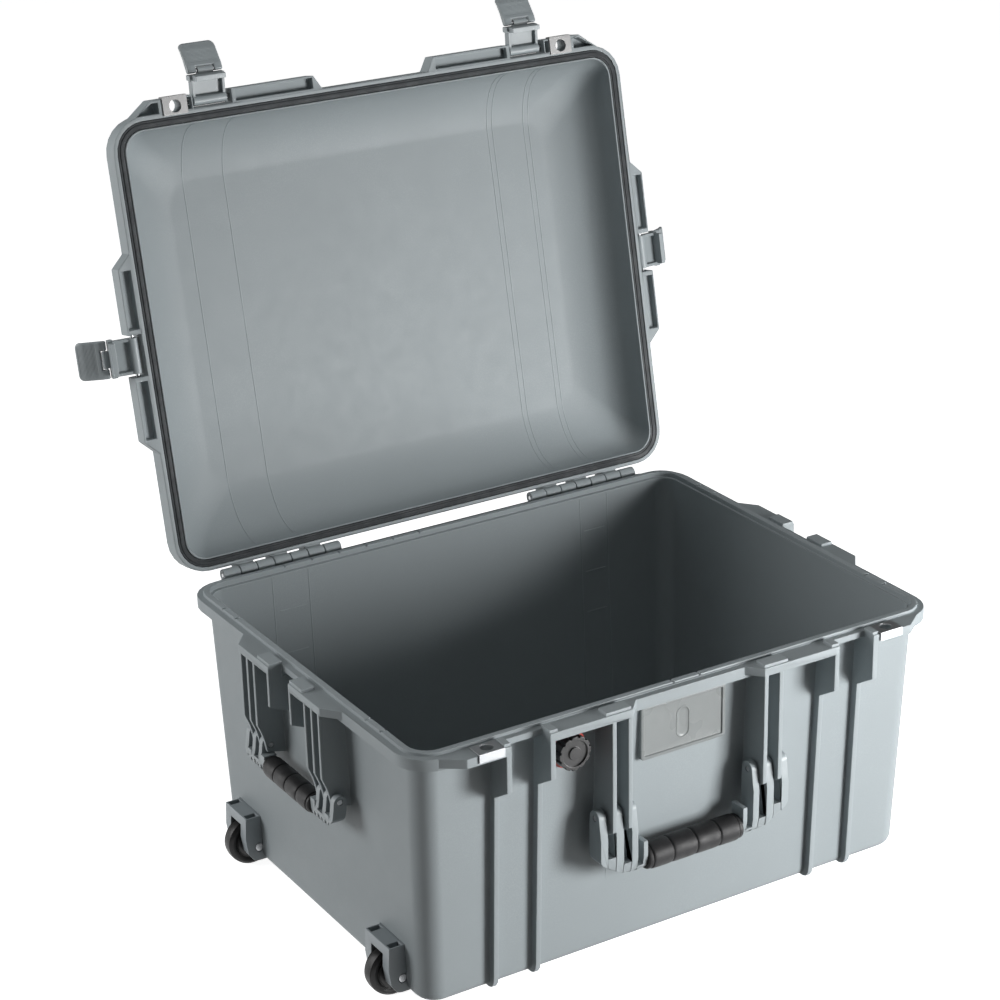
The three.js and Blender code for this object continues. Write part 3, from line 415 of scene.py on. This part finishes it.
def curve_at(d, pts):
    for (a, u), (b, v) in zip(pts, pts[1:]):
        if d <= b:
            f = (d - a) / (b - a)
            f = f * f * (3 - 2 * f) * 0.35 + f * 0.65
            return u + (v - u) * f
    return pts[-1][1]


OUTER = [(25.2, -6.6), (27, -7.1), (32, -7.5), (38, -7.9), (47, -9.6), (55.5, -13.1)]
INNER = [(25.2, -1.4), (31, -1.4), (38, -3.2), (47, -5.2), (55.5, -8.6)]


def lever_pad(bm, place, x0, x1, d0, d1, tip, ridged):
    rings = []
    n = max(6, int((d1 - d0) / 0.26))
    for k in range(n + 1):
        d = d0 + (d1 - d0) * k / n
        e0, e1 = d - d0, d1 - d
        half, cx = (x1 - x0) / 2, (x0 + x1) / 2
        r_end = 5.2 if tip else 1.6
        if e1 < r_end:
            half -= r_end - math.sqrt(max(0.0, r_end ** 2 - (r_end - e1) ** 2))
        if e0 < 1.4:
            half -= 0.9 * (1 - math.sqrt(max(0.0, 1 - (1 - e0 / 1.4) ** 2)))
        yo, yi = curve_at(d, OUTER), curve_at(d, INNER)
        mid_y, th = (yo + yi) / 2, (yi - yo) / 2
        for e, lim in ((e0, 1.4), (e1, 1.8)):
            if e < lim:
                th *= 0.35 + 0.65 * math.sqrt(max(0.0, 1 - (1 - e / lim) ** 2))
        wave = 0.26 * (0.5 - 0.5 * math.cos(2 * math.pi * (d - 35) / 1.3)) if ridged and 35 < d < 53.4 else 0.0
        ring = []
        for x, y in (rrect_dense if ridged else rrect)(half, th, min(1.9, th * 0.85), 4):
            if abs(x) < half - 2.2 and y < 0:
                y += wave
            if abs(x) < half - 2.2 and y > 0:
                y -= wave
            ring.append(bm.verts.new(place((cx + x, mid_y + y, -d))))
        rings.append(ring)
    m = len(rings[0])
    for A, B in zip(rings, rings[1:]):
        for k in range(m):
            bm.faces.new((A[k], A[(k + 1) % m], B[(k + 1) % m], B[k]))
    bm.faces.new(rings[0]); bm.faces.new(rings[-1])


def rrect_dense(hx, hy, r, n=4, along=10):
    """rounded loop with extra points on its long sides, so that ridges can run across"""
    base = rrect(hx, hy, r, n)
    out = []
    for i, a in enumerate(base):
        b = base[(i + 1) % len(base)]
        out.append(a)
        if abs(a[0] - b[0]) > 4 and abs(a[1] - b[1]) < 1e-6:
            for k in range(1, along):
                out.append((a[0] + (b[0] - a[0]) * k / along, a[1]))
    return out


for nm, px, side, opened in (("front_left", -173.5, 0, 82), ("front_right", 173.5, 0, 82), ("left_end", 0, -1, 99), ("right_end", 0, 1, 99)):
    place = lambda q, px=px, side=side, opened=opened: latch_point(q, px, side, opened)
    bm = bmesh.new()
    lever_pad(bm, place, -18.2, 18.2, 30.7, 55.5, True, True)
    for x0, x1 in ((-18.1, -8.9), (8.9, 18.1)):
        lever_pad(bm, place, x0, x1, 25.2, 33.5, False, False)
    bmesh.ops.recalc_face_normals(bm, faces=bm.faces)
    me = bpy.data.meshes.new("lever_pad_" + nm); bm.to_mesh(me); bm.free()
    shade(me, 50)
    link("lever_pad_" + nm, me, trim_mat, body_of["latch_lever_" + nm], SLOT["latch_lever_" + nm], "latch_lever_" + nm)
    done.add("latch_lever_" + nm)

# the same lines down the base's inner walls, with depth marks between them
def inner_y(z):
    return 203.7 - 10.4 * (250 - min(z, 250)) / 240 - 3.2


def strip(bm, pts, across, nrm, w=0.8, h=0.34):
    rings = [[bm.verts.new((Vector(p) + Vector(across) * dx + Vector(nrm) * k) * MM) for dx, k in ((-w, -0.25), (-w * 0.45, h), (w * 0.45, h), (w, -0.25))] for p in pts]
    for A, B in zip(rings, rings[1:]):
        for k in range(4):
            bm.faces.new((A[k], A[(k + 1) % 4], B[(k + 1) % 4], B[k]))
    bm.faces.new(rings[0]); bm.faces.new(rings[-1])


bm = bmesh.new()
for sg in (-1, 1):
    for x in (-196, -157, 157, 190):
        strip(bm, [(x, sg * inner_y(z), z) for z in (30, 90, 150, 210, 250, 259)], (1, 0, 0), (0, -sg, 0))
    for z in (132, 177, 222):
        for a, b in ((-190, -162), (161, 186)):
            strip(bm, [(a, sg * inner_y(z), z), (b, sg * inner_y(z), z)], (0, 0, 1), (0, -sg, 0), 0.7, 0.3)
bmesh.ops.recalc_face_normals(bm, faces=bm.faces)
me = bpy.data.meshes.new("base_lines"); bm.to_mesh(me); bm.free()
shade(me, 20)
link("base_lines", me, shell_mat, "base", "shell_polymer")

for n in nodes:
    if n in done:
        continue
    o = refine(n, lid_plate_mat if n.startswith("lid_padlock") else MATS[SLOT[n]], WIDTH.get(n, 0.0005 if "pin" not in n and "plate" not in n else 0.0002), dissolve=0 if n in ("lid_shell", "base_shell") else 0.2)

# ------------------------------------------------------- floor and lighting
bm = bmesh.new()
bmesh.ops.create_grid(bm, x_segments=1, y_segments=1, size=14)
me = bpy.data.meshes.new("floor"); bm.to_mesh(me); bm.free()
floor = bpy.data.objects.new("floor", me); floor.location = (0, 0, -0.0005)
scene.collection.objects.link(floor)
F = Mat("floor_paint")
col = F.mix(F.ramp(F.noise(0.8, 2), 0.3, 0.7), (0.93, 0.93, 0.93, 1), (0.96, 0.96, 0.96, 1))
F.bump((F.noise(40, 2), 0.01, 0.001))
me.materials.append(F.set(Base_Color=col, Roughness=0.75, Specular_IOR_Level=0.1, Emission_Color=(1, 1, 1, 1), Emission_Strength=0.9))
floor.visible_diffuse = False

world = bpy.data.worlds.new("studio"); scene.world = world; world.use_nodes = True
bg = world.node_tree.nodes["Background"]
bg.inputs["Color"].default_value = (1, 1, 1, 1); bg.inputs["Strength"].default_value = 0.08
bg2 = world.node_tree.nodes.new("ShaderNodeBackground"); bg2.inputs["Color"].default_value = (1, 1, 1, 1); bg2.inputs["Strength"].default_value = 1.0
lp = world.node_tree.nodes.new("ShaderNodeLightPath"); mx = world.node_tree.nodes.new("ShaderNodeMixShader")
world.node_tree.links.new(lp.outputs["Is Camera Ray"], mx.inputs[0])
world.node_tree.links.new(bg.outputs[0], mx.inputs[1]); world.node_tree.links.new(bg2.outputs[0], mx.inputs[2])
world.node_tree.links.new(mx.outputs[0], world.node_tree.nodes["World Output"].inputs[0])


def area(name, loc, target, size, power, color=(1, 1, 1)):
    l = bpy.data.lights.new(name, "AREA"); l.shape = "RECTANGLE"; l.size, l.size_y = size; l.energy = power; l.color = color
    o = bpy.data.objects.new(name, l); o.location = loc
    o.rotation_euler = (Vector(target) - Vector(loc)).to_track_quat("-Z", "Y").to_euler()
    scene.collection.objects.link(o)
    return o


area("key", (0.85, -1.25, 0.30), (0.0, -0.1, 0.22), (0.5, 0.6), 28)
area("front_soft", (1.7, -2.4, 0.8), (0, 0, 0.35), (1.2, 0.7), 7)
area("top", (-0.2, 0.05, 3.0), (-0.1, 0, 0.2), (1.2, 1.2), 13)
area("left_back", (-2.2, 1.3, 0.9), (-0.2, 0, 0.2), (1.2, 1.2), 36)
scene.view_settings.view_transform = "Standard"
scene.view_settings.look = "None"
